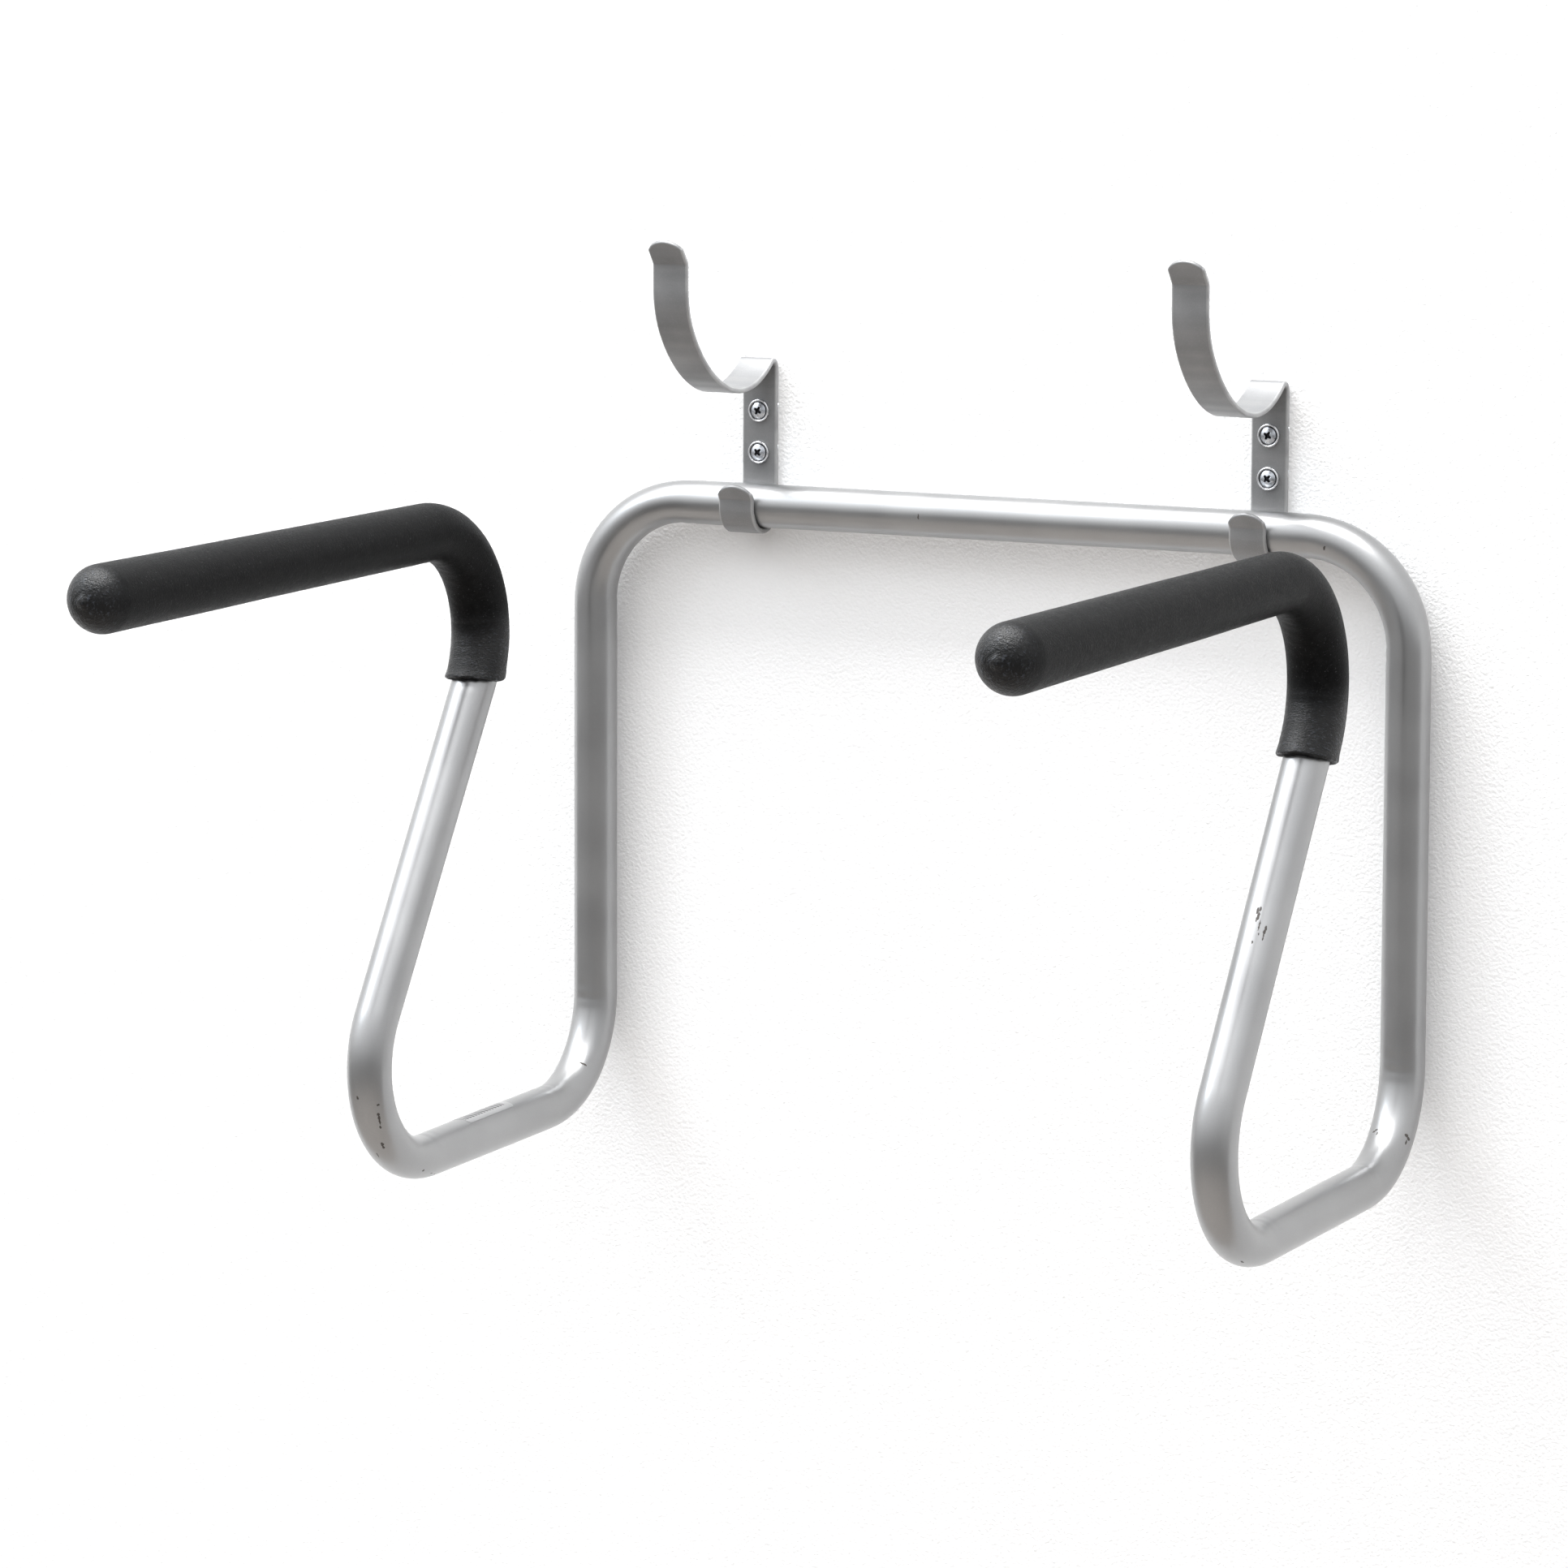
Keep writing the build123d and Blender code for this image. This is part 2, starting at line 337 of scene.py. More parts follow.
class Foam:
    """The shape of one sleeve, from its tilted cut below the bend to its domed end."""

    def __init__(self, side):
        foot, corner, tip = [on_side(side, CORNERS[i]) for i in (2, 3, 4)]
        self.run = run_through([foot, corner, tip], [BENDS[3]])
        self.bend_start, self.bend_end, self.inner = self.run.arcs()[0]
        self.seed = FOAM_SEED[side]
        self.cut = self.bend_start - FOAM_BELOW_BEND[side]
        _, self.cut_heading, self.n, self.b = self.run.at(self.cut)
        self.cut_normal = Matrix.Rotation(math.radians(FOAM_CUT_TILT[side]), 3, "X") @ self.cut_heading

    def grain(self, *place):
        return noise.noise(Vector(place) + self.seed)

    def cut_at(self, angle, r):
        """Distance along where the ragged tilted cut crosses this line of the sleeve."""
        across, up = math.cos(angle), math.sin(angle)
        offset = (self.n * across + self.b * up) * r
        slope = self.cut_normal.dot(offset) / self.cut_normal.dot(self.cut_heading)
        coarse, fine = self.grain(across * 1.3, up * 1.3, 0), self.grain(across * 4.1, up * 4.1, 0)
        return self.cut - slope + coarse * RAGGED[0] + fine * RAGGED[1]

    def outer_r(self, s, angle, from_cut):
        end, across, up = self.run.length, math.cos(angle), math.sin(angle)
        r = FOAM_R_BEND + (FOAM_R_TIP - FOAM_R_BEND) * max(0.0, (s - self.bend_end) / (end - self.bend_end))
        fine = self.grain(s * 0.11, across * 2.4, up * 2.4)
        still = 1 - smooth(end - 30, end - 2, s)
        r += still * (SWELL * self.grain(s * 0.012, across * 0.8, up * 0.8) + RIPPLE * fine)
        # Squeezed folds inside the bend, and fine wrinkles towards the cut end.
        inside = max(0.0, math.cos(angle - self.inner)) ** 2
        inside *= smooth(self.bend_start + 2, self.bend_start + 22, s)
        inside *= 1 - smooth(self.bend_end - 26, self.bend_end - 4, s)
        wander = noise.noise(Vector((s * 0.05, across * 3, up * 3)))
        r += FOLD * inside * math.sin(s * 0.75 + 2.6 * fine + 1.5 * wander)
        r += CRINKLE * self.grain(s * 0.75, across * 4.2, up * 4.2) * (1 - smooth(*CRINKLE_FADE, from_cut))
        # Rounded and slightly flared rim.
        r += FLARE * math.exp(-((from_cut - FLARE_AT) / FLARE_SPREAD) ** 2)
        if from_cut < CUT_ROUND:
            r -= CUT_ROUND - math.sqrt(max(0.0, CUT_ROUND**2 - (CUT_ROUND - from_cut) ** 2))
        return r


def foam_grip(side):
    foam, angles = Foam(side), around(FOAM_SEGMENTS)
    end, cut_s = foam.run.length, foam.cut
    rings, along, gloss = [], [], []

    def add_ring(distances, radii, shine=0.0):
        """A ring with its own distance along and radius at each angle, past the run's end if need be."""
        ring = []
        for s, a, r in zip(distances, angles, radii):
            pos, heading, n, b = foam.run.at(min(s, end))
            ring.append(pos + (n * math.cos(a) + b * math.sin(a)) * r + heading * max(0.0, s - end))
            along.append((s, r * math.cos(a), r * math.sin(a)))
        rings.append(ring)
        gloss.extend(shine if isinstance(shine, list) else [shine] * len(ring))

    def flat_ring(s, r, shine=0.0):
        count = FOAM_SEGMENTS if r else 1
        add_ring([s] * count, [r] * count, shine)

    # Pocket round the tube's end, and the bore back to the cut.
    flat_ring(end + POCKET, 0)
    flat_ring(end + POCKET, FOAM_BORE_R)
    bore_top = cut_s + BORE_SETTLE
    s = end
    while s > bore_top:
        flat_ring(s, FOAM_BORE_R)
        s -= BORE_STEP
    cuts = [foam.cut_at(a, FOAM_R_BEND) for a in angles]
    for share in (0.66, 0.33, 0.1, 0.0):
        add_ring([c + (bore_top - c) * share for c in cuts], [FOAM_BORE_R] * FOAM_SEGMENTS)
    # The cut face, a little rough and hollow.
    rims = [foam.outer_r(c, a, 0.0) for c, a in zip(cuts, angles)]
    for share in (0.2, 0.4, 0.6, 0.8, 0.94):
        hollow = CUT_HOLLOW * math.sin(math.pi * share)
        rough = [foam.grain(math.cos(a) * 6, math.sin(a) * 6, share * 6) for a in angles]
        add_ring([c + CUT_ROUGH * x - hollow for c, x in zip(cuts, rough)],
                 [FOAM_BORE_R + (rim - FOAM_BORE_R) * share for rim in rims])
    # Outside: close rings by the cut, then even steps up to the tip.
    settle = cut_s + SETTLE
    offsets = [0.0, 0.15, 0.4, 0.75, 1.2, 1.8, 2.6]
    while offsets[-1] < SETTLE:
        offsets.append(offsets[-1] + 1.0)
    for offset in offsets:
        share = offset / offsets[-1]
        share = share if share > 0.1 else offset / SETTLE
        distances = [c + (settle - c) * share for c in cuts]
        add_ring(distances, [foam.outer_r(x, a, x - c) for x, a, c in zip(distances, angles, cuts)],
                 [1 - smooth(*GLOSS_FADE, x - c) for x, c in zip(distances, cuts)])
    s = settle
    while s < end - 0.5 * FOAM_STEP:
        s = min(s + FOAM_STEP, end)
        add_ring([s] * FOAM_SEGMENTS, [foam.outer_r(s, a, s - cut_s) for a in angles],
                 1 - smooth(*GLOSS_FADE, s - cut_s))
    # Domed end, swelling to a soft nub in the middle.
    for i in range(1, DOME_RINGS + 1):
        a = math.pi / 2 * (1 - i / DOME_RINGS)
        r = FOAM_R_TIP * math.sin(a) if i < DOME_RINGS else 0
        nub = NUB_H * (1 - smooth(0.15 * NUB_R, 1.25 * NUB_R, r))
        flat_ring(end + FOAM_R_TIP * math.cos(a) + nub, r, smooth(0, 0.8, math.cos(a)))
    obj = make_object(f"foam_sleeve_{side}", *skin(rings), along, sharp=50, floats={"gloss": gloss})
    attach(obj, "frame")
    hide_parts(f"foam_grip_{side}")
    return obj


# ---- wall brackets ------------------------------------------------------------------------------
# How far each round end of the strip reaches.
ROUNDING = END_ROUND - math.sqrt(END_ROUND**2 - (STRIP_W / 2) ** 2)
END_STEPS, CORNER_STEPS, HOLE_STEPS, HOLE_REACH = 14, 5, 32, 5.0
# Steps round a bend, at most this long and at most this share of its radius.
ARC_STEP, ARC_STEP_SHARE = 2.5, 0.12
# The strip's two flat sides, among the sides of its section.
FLAT_TOP, FLAT_BOTTOM = CORNER_STEPS, 3 * CORNER_STEPS + 2


def bracket_run(side):
    """Centreline of a bracket's strip from the lip's end to the hook's tip, and where its plate starts."""
    flare = math.radians(LIP_FLARE)
    # Walk from the saddle's front up to the lip's end, then come back down the same way.
    start = Vector((BRACKET_X[side], BAR_MIDDLE.y - SADDLE_R, BAR_MIDDLE.z + LIP_RISE))
    end, heading, _ = Run(start, Z, X).arc(FLARE_BEND, flare, X).line(LIP_LENGTH).end
    run = Run(end, -heading, X).line(LIP_LENGTH).arc(FLARE_BEND, flare, -X).line(LIP_RISE)
    run.arc(SADDLE_R, math.pi, X)
    plate_start = run.length
    run.line(TOP_RISE).arc(TOP_BEND, math.radians(90 + BACK_SLOPE), X)
    for radius, turn in HOOK_ARCS:
        run.arc(radius, math.radians(turn), -X)
    run.line(HOOK_RISE).arc(FLARE_BEND, math.radians(HOOK_FLARE), X).line(HOOK_TIP)
    return run, plate_start


def strip_stations(run, holes):
    """Distances along the strip, close together over its round ends and its bends."""
    marks = [hole + d for hole in holes for d in (-HOLE_REACH, HOLE_REACH)]
    for p in run.pieces:
        marks += [p.start, p.start + p.length]
        if p.axis is not None:
            n = max(4, math.ceil(p.length / min(ARC_STEP, p.radius * ARC_STEP_SHARE)))
            marks += [p.start + p.length * i / n for i in range(1, n)]
    head = [ROUNDING * (1 - math.cos(math.pi / 2 * i / END_STEPS)) for i in range(END_STEPS)]
    stations = head + [ROUNDING, run.length - ROUNDING] + [run.length - d for d in head]
    stations += [m for m in marks if ROUNDING < m < run.length - ROUNDING]
    return sorted(set(round(s, 4) for s in stations))


def strip_section():
    """(side, face, inset from the side, height over the middle) of the points round the strip."""
    corner = [(STRIP_EDGE * (1 - math.cos(a)), STRIP_T / 2 - STRIP_EDGE * (1 - math.sin(a)))
              for a in (math.pi / 2 * i / CORNER_STEPS for i in range(CORNER_STEPS + 1))]
    section = [(1, 1, *c) for c in corner] + [(-1, 1, *c) for c in reversed(corner)]
    return section + [(-1, -1, *c) for c in corner] + [(1, -1, *c) for c in reversed(corner)]


def half_width(d, inset):
    """Half the strip's width at this distance from its end, inside an inset outline."""
    if d >= ROUNDING:
        return STRIP_W / 2 - inset
    return math.sqrt(max(0.0, (END_ROUND - inset) ** 2 - (END_ROUND - d) ** 2))


def wall_bracket(side):
    run, plate_start = bracket_run(side)
    holes = [plate_start + z - BAR_MIDDLE.z for z in SCREWS_Z.values()]
    stations, section = strip_stations(run, holes), strip_section()
    verts, along, faces = [], [], []

    def add(s, x, h):
        pos, _, across, up = run.at(s)
        verts.append(pos + across * x + up * h)
        along.append((s, x, h))
        return len(verts) - 1

    def row_at(s):
        from_end, row = min(s, run.length - s), []
        for side_x, face, inset, h in section:
            d = inset + from_end * (1 - inset / ROUNDING) if from_end < ROUNDING else from_end
            place = d if s < run.length / 2 else run.length - d
            row.append(add(place, side_x * half_width(d, inset), face * h))
        return row

    def pierce(row, after, hole):
        """Faces from both flat sides in to the rims of a screw hole, and the hole's own wall."""
        rims = []
        for j, h in ((FLAT_TOP, STRIP_T / 2), (FLAT_BOTTOM, -STRIP_T / 2)):
            rim = [add(hole - SCREW_HOLE_R * math.cos(a), SCREW_HOLE_R * math.sin(a), h)
                   for a in (corner + math.pi / 4 for corner in around(HOLE_STEPS))]
            # The outline's corners turn the same way as the rim.
            plus, minus = (j, j + 1) if section[j][0] > 0 else (j + 1, j)
            outline = [row[plus], after[plus], after[minus], row[minus]]
            quarter = HOLE_STEPS // 4
            for q in range(4):
                arc = [rim[(q * quarter + i) % HOLE_STEPS] for i in range(quarter + 1)]
                faces.append([outline[q], outline[(q + 1) % 4]] + arc[::-1])
            rims.append(rim)
        for k in range(HOLE_STEPS):
            m = (k + 1) % HOLE_STEPS
            faces.append((rims[0][k], rims[0][m], rims[1][m], rims[1][k]))

    rows = [row_at(s) for s in stations]
    for i, (row, after) in enumerate(zip(rows, rows[1:])):
        middle = (stations[i] + stations[i + 1]) / 2
        hole = next((h for h in holes if abs(middle - h) < 0.5), None)
        for j in range(len(section)):
            m = (j + 1) % len(section)
            if hole is None or j not in (FLAT_TOP, FLAT_BOTTOM):
                faces.append((row[j], row[m], after[m], after[j]))
        if hole is not None:
            pierce(row, after, hole)
    obj = make_object(f"strip_bracket_{side}", verts, faces, along, sharp=40)
    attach(obj, "wall_brackets")
    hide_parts(f"wall_bracket_{side}")
    return obj


# ---- screws and washers -------------------------------------------------------------------------
# The thread: its pitch, where it starts, how far it takes to reach full height, and half its ridge's
# width as a share of the pitch.
THREAD_PITCH, THREAD_START, THREAD_RAMP, RIDGE_HALF = 2.2, -STRIP_T - 0.2, 3.0, 0.28
# The cross recess: (depth under the head's top, width as a share) above its mouth, halfway and at its floor.
RECESS_LEVELS = [(-0.3, 1.04), (0.5 * RECESS_DEPTH, 0.9), (RECESS_DEPTH, 0.55)]


def screw_place(side, level):
    """On the bracket's front, at the middle of this screw hole."""
    return Vector((BRACKET_X[side], -STRIP_T, SCREWS_Z[level]))


def cup_washer(side, level, look):
    rim_in, half = WASHER_R - WASHER_RIM_W, WASHER_RIM_W / 2
    middle = rim_in + half
    profile = [(0.0, SCREW_HOLE_R), (0.0, WASHER_R - 0.35), (0.12, WASHER_R - 0.1), (0.4, WASHER_R)]
    for a in (math.pi * i / 12 for i in range(13)):
        profile.append((WASHER_RIM - half + half * math.sin(a), middle + half * math.cos(a)))
    profile += [(WASHER_SEAT + 0.15, rim_in - 0.05), (WASHER_SEAT, rim_in - 0.3),
                (WASHER_SEAT, SCREW_HOLE_R + 0.12), (WASHER_SEAT - 0.12, SCREW_HOLE_R), (0.0, SCREW_HOLE_R)]
    obj = lathe(f"cup_washer_{side}_{level}", screw_place(side, level), -Y, profile, segments=72, sharp=50)
    dress(obj, look)
    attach(obj, "wall_brackets")
    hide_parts(f"washer_{side}_{level}")


def recess_cutter(base, top, level):
    """Cross recess: four tapered arms round a deeper middle."""
    turn = math.radians(RECESS_TURN[level])
    rings = [[base - Y * (top - RECESS_LEVELS[0][0])]]
    for deep, narrow in RECESS_LEVELS:
        arm, half = RECESS_SPAN / 2 * narrow, RECESS_W / 2 * narrow
        ring = []
        for quarter in (turn + math.pi / 2 * q for q in range(4)):
            right = X * math.cos(quarter) + Z * math.sin(quarter)
            up = Z * math.cos(quarter) - X * math.sin(quarter)
            for x, y in ((arm, -half * 0.8), (arm, half * 0.8), (half * 1.3, half * 1.3)):
                ring.append(base - Y * (top - deep) + right * x + up * y)
        rings.append(ring)
    rings.append([base - Y * (top - RECESS_DEPTH - 0.3)])
    return make_object("cutter", *skin(rings), sharp=20)


def thread_r(d, r, angle):
    """The screw's radius at this height and angle, with a ridge that winds down to the point."""
    if d > THREAD_START:
        return r
    tip = WASHER_SEAT - SCREW_LENGTH
    taper = smooth(0, SCREW_POINT, d - tip) ** 0.6
    phase = (d / THREAD_PITCH - angle / TURN) % 1.0
    ridge = max(0.0, 1 - abs(phase - 0.5) / RIDGE_HALF)
    return taper * (ROOT_R + (THREAD_R - ROOT_R) * ridge * smooth(0, THREAD_RAMP, THREAD_START - d))


def cross_screw(side, level, look, shaded_recess_look):
    base, seat = screw_place(side, level), WASHER_SEAT
    crown_h = HEAD_H - HEAD_EDGE
    crown_r = (HEAD_R**2 + crown_h**2) / (2 * crown_h)
    crown = math.asin(HEAD_R / crown_r)
    profile = [(seat + HEAD_H - crown_r * (1 - math.cos(crown * i / 12)), crown_r * math.sin(crown * i / 12))
               for i in range(13)]
    profile += [(seat + HEAD_EDGE - 0.2, HEAD_R), (seat + 0.2, HEAD_R - 0.05), (seat, HEAD_R - 0.25),
                (seat, NECK_R + 0.3), (seat - 0.3, NECK_R), (THREAD_START + 1.0, NECK_R)]
    d, tip = THREAD_START, seat - SCREW_LENGTH
    while d > tip + 0.3:
        profile.append((d, THREAD_R))
        d -= THREAD_PITCH / 9
    profile.append((tip, 0))
    obj = lathe(f"cross_screw_{side}_{level}", base, -Y, profile, segments=40, sharp=45, shape=thread_r)
    cutter = recess_cutter(base, seat + HEAD_H, level)
    dress(obj, look)
    # The recess faces take the nearly black zinc: painted shade inside the cross recess.
    dress(cutter, shaded_recess_look)
    cut(obj, cutter)
    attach(obj, "wall_brackets")
    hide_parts(f"screw_{side}_{level}")


# ---- label --------------------------------------------------------------------------------------
LABEL_ROWS, LABEL_COLUMNS, LABEL_CORNER = 40, 24, 2.0


def film_label():
    foot, wall_foot = on_side("left", CORNERS[2]), on_side("left", CORNERS[1])
    heading = (wall_foot - foot).normalized()
    side = Z.cross(heading).normalized()
    up = heading.cross(side)
    verts, along, faces = [], [], []
    for r in (TUBE_R + LABEL_LIFT, TUBE_R + LABEL_LIFT + LABEL_T):
        for i in range(LABEL_ROWS + 1):
            x = LABEL_LENGTH * i / LABEL_ROWS
            from_end = min(x, LABEL_LENGTH - x)
            inset = LABEL_CORNER - math.sqrt(LABEL_CORNER**2 - max(0.0, LABEL_CORNER - from_end) ** 2)
            half = math.radians(LABEL_HALF) - inset / TUBE_R
            for j in range(LABEL_COLUMNS + 1):
                a = -half + 2 * half * j / LABEL_COLUMNS
                out = side * math.sin(a) + up * math.cos(a)
                verts.append(foot + heading * (LABEL_FROM_FOOT + x) + out * r)
                along.append((x, a * TUBE_R, r - TUBE_R))
    n, rows = LABEL_COLUMNS + 1, LABEL_ROWS
    layer = n * (rows + 1)
    for i in range(rows):
        for j in range(LABEL_COLUMNS):
            a = i * n + j
            faces.append((a, a + 1, a + n + 1, a + n))
            faces.append((a + layer, a + layer + n, a + layer + n + 1, a + layer + 1))
    border = [j for j in range(n)] + [i * n + n - 1 for i in range(1, rows + 1)]
    border += [rows * n + j for j in range(n - 2, -1, -1)] + [i * n for i in range(rows - 1, 0, -1)]
    for a, b in zip(border, border[1:] + border[:1]):
        faces.append((a, b, b + layer, a + layer))
    obj = make_object("film_label", verts, faces, along, sharp=50)
    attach(obj, "frame")
    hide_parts("blank_label")
    return obj


# ---- materials ----------------------------------------------------------------------------------
class Tree:
    """A node tree with its main shader, and short calls for the nodes it is made of."""

    def __init__(self, owner, shader):
        owner.use_nodes = True
        self.nodes, self.links = owner.node_tree.nodes, owner.node_tree.links
        self.shader = self.nodes[shader]

    def plug(self, socket, value):
        """Links another node's output to this socket, or sets the socket's own value."""
        if isinstance(value, bpy.types.NodeSocket):
            self.links.new(value, socket)
        elif socket.type == "RGBA":
            socket.default_value = (*value, 1)
        else:
            socket.default_value = value

    def set(self, name, value):
        self.plug(self.shader.inputs[name], value)

    def node(self, kind, out=0, props=None, **inputs):
        """The output of a new node. Inputs go by name, or as i0, i1 and so on by number."""
        made = self.nodes.new(kind)
        for key, value in (props or {}).items():
            setattr(made, key, value)
        for key, value in inputs.items():
            numbered = key[0] == "i" and key[1:].isdigit()
            self.plug(made.inputs[int(key[1:]) if numbered else key.replace("_", " ")], value)
        return made.outputs[out]

    def vector(self, operation, *operands, out=0):
        inputs = {f"i{i}": operand for i, operand in enumerate(operands)}
        return self.node("ShaderNodeVectorMath", out=out, props={"operation": operation}, **inputs)

    def scaled(self, vector, scale):
        return self.vector("MULTIPLY", vector, scale)

    def length(self, vector):
        return self.vector("LENGTH", vector, out="Value")

    def part(self, axis, vector):
        return self.node("ShaderNodeSeparateXYZ", out=axis, i0=vector)

    def grain(self, vector, size, detail=2.0, rough=0.5):
        """Noise whose features are about this many millimetres across."""
        return self.node("ShaderNodeTexNoise", out="Fac", Vector=vector, Scale=1 / (size * MM),
                         Detail=detail, Roughness=rough)

    def math(self, operation, a, b=0.0, c=0.0, clamp=False):
        props = {"operation": operation, "use_clamp": clamp}
        return self.node("ShaderNodeMath", props=props, i0=a, i1=b, i2=c)

    def spread(self, value, low, high, to_low=0.0, to_high=1.0):
        """to_low where the value is low, to_high where it is high, with an S-curve between."""
        return self.node("ShaderNodeMapRange", props={"interpolation_type": "SMOOTHSTEP"}, Value=value,
                         From_Min=low, From_Max=high, To_Min=to_low, To_Max=to_high)

    def mix(self, share, a, b):
        """A colour that goes from a to b as share goes from 0 to 1."""
        return self.node("ShaderNodeMix", out=2, props={"data_type": "RGBA"}, i0=share, i6=a, i7=b)

    def bump(self, height, depth, before=None):
        """Bump from a 0 to 1 height that stands this many millimetres high."""
        inputs = {} if before is None else {"Normal": before}
        return self.node("ShaderNodeBump", Distance=depth * MM, Height=height, **inputs)


class Look(Tree):
    """A node material with these values of its own."""

    def __init__(self, name, **values):
        self.material = bpy.data.materials.new(name)
        super().__init__(self.material, "Principled BSDF")
        for key, value in values.items():
            self.set(key.replace("_", " "), value)

    def run(self):
        """Place along the run: distance, and the two offsets across it."""
        return self.node("ShaderNodeAttribute", out="Vector", props={"attribute_name": "run"})

    def value(self, name):
        return self.node("ShaderNodeAttribute", out="Fac", props={"attribute_name": name})


# Paint chips: millimetres along the tube, degrees round it, then half length and half width in mm.
CHIPS = [
    (695, 95, 1.1, 0.8), (699, 41, 0.6, 1.0), (704, 45, 1.1, 0.9), (706, 45, 1.5, 0.8),
    (708, 46, 1.9, 0.6), (711, 48, 1.0, 0.6), (721, 59, 1.4, 1.0), (723, 60, 1.2, 0.8),
    (728, 87, 2.0, 0.4), (758, 32, 0.9, 0.9), (768, 41, 1.1, 0.4), (773, 50, 1.1, 0.4),
    (952, -59, 0.6, 1.4), (952, -53, 0.8, 1.6), (952, -47, 0.7, 1.3), (1483, -90, 0.6, 1.8),
    (1733, -78, 0.8, 1.5), (2085, -154, 1.2, 1.6), (2086, -164, 1.3, 1.4), (2089, -160, 1.9, 0.7),
    (2088, -62, 0.9, 1.2), (2087, -68, 1.0, 1.3), (2090, -75, 1.6, 0.6), (2298, 113, 1.9, 0.6),
    (2476, 94, 1.1, 0.5), (2479, 117, 1.1, 0.4), (2481, 105, 1.0, 0.4), (2481, 117, 1.8, 0.4),
    (2483, 117, 1.6, 0.8), (2485, 118, 1.9, 0.7), (2486, 101, 3.8, 0.4), (2489, 90, 1.7, 0.5),
    (2491, 93, 2.6, 0.9), (2494, 88, 2.3, 0.8), (2495, 94, 1.7, 0.7)]
# Their ragged edges: the size of the noise that moves them, and how far it does.
RAG_SIZE, RAG_SHIFT = 0.9, 1.1


def chipped(look, place):
    """1 where the paint is chipped off, with ragged edges."""
    wander = look.node("ShaderNodeTexNoise", out="Color", Vector=place, Scale=1 / (RAG_SIZE * MM), Detail=2.0)
    wander = look.vector("SUBTRACT", wander, (0.5, 0.5, 0.5))
    place = look.vector("MULTIPLY_ADD", wander, (RAG_SHIFT * MM,) * 3, place)
    nearest = None
    for s, degrees, half_length, half_width in CHIPS:
        a = math.radians(degrees)
        middle = (s * MM, TUBE_R * MM * math.cos(a), TUBE_R * MM * math.sin(a))
        scale = (1 / (half_length * MM), 1 / (half_width * MM), 1 / (half_width * MM))
        far = look.length(look.scaled(look.vector("SUBTRACT", place, middle), scale))
        nearest = far if nearest is None else look.math("MINIMUM", nearest, far)
    return look.spread(nearest, 0.75, 1.05, 1.0, 0.0)


def tube_paint():
    """Satin silver paint with fine flake and a little orange peel, chipped in places."""
    look = Look("tube_paint", Coat_Weight=0.3, Coat_Roughness=0.16)
    place = look.run()
    flake = look.grain(place, 0.3, 1.0)
    cloud = look.grain(place, 45.0, 2.0)
    peel = look.grain(place, 3.5, 2.0)
    chip = chipped(look, place)
    base = look.mix(look.spread(cloud, 0.3, 0.7), (0.325, 0.327, 0.330), (0.358, 0.360, 0.363))
    base = look.mix(look.spread(flake, 0.55, 0.75, 0.0, 0.22), base, (0.51, 0.515, 0.52))
    rough = look.math("MAXIMUM", look.spread(cloud, 0.2, 0.8, 0.32, 0.38), look.math("MULTIPLY", chip, 0.6))
    normal = look.bump(peel, 0.004, look.bump(flake, 0.0015))
    look.set("Base Color", look.mix(chip, base, (0.055, 0.047, 0.042)))
    look.set("Metallic", look.spread(chip, 0.0, 1.0, 0.95, 0.25))
    look.set("Roughness", rough)
    look.set("Normal", look.bump(look.math("SUBTRACT", 1.0, chip), 0.07, normal))
    return look.material


def bracket_paint():
    """Greyer silver paint, thicker than the tube's."""
    look = Look("bracket_paint", Metallic=0.45, Coat_Weight=0.12, Coat_Roughness=0.2)
    place = look.run()
    flake = look.grain(place, 0.4, 1.0)
    cloud = look.grain(place, 18.0, 3.0)
    base = look.mix(look.spread(cloud, 0.3, 0.7), (0.215, 0.217, 0.22), (0.242, 0.244, 0.247))
    base = look.mix(look.spread(flake, 0.55, 0.75, 0.0, 0.2), base, (0.5, 0.5, 0.51))
    # Faint lighter and darker bands across the strip: painted highlight and shade standing for the faint
    # facets and gloss bands left by bending. The roughness follows the same bands.
    bend_bands_and_painted_light = look.grain(look.scaled(place, (1.0, 0.05, 1.0)), 9.0, 2.0)
    base = look.mix(look.spread(bend_bands_and_painted_light, 0.50, 0.68, 0.0, 0.15), base, (0.34, 0.335, 0.33))
    base = look.mix(look.spread(bend_bands_and_painted_light, 0.30, 0.46, 0.14, 0.0), base, (0.15, 0.148, 0.147))
    # The paint is thin along the rounded edges, and they are brighter: partly wear, partly a painted
    # highlight where the rounded edges catch the light.
    off_middle = look.math("ABSOLUTE", look.part("Y", place))
    edge_wear_and_highlight = look.spread(off_middle, (STRIP_W / 2 - 1.5) * MM, (STRIP_W / 2 - 0.7) * MM, 0.0, 0.55)
    edge_wear_and_highlight = look.math("MULTIPLY", edge_wear_and_highlight, look.spread(cloud, 0.35, 0.6, 0.5, 1.0))
    look.set("Base Color", look.mix(edge_wear_and_highlight, base, (0.5, 0.5, 0.5)))
    look.set("Roughness", look.spread(bend_bands_and_painted_light, 0.3, 0.7, 0.48, 0.40))
    look.set("Normal", look.bump(look.grain(place, 1.6, 2.0), 0.010, look.bump(flake, 0.004)))
    return look.material


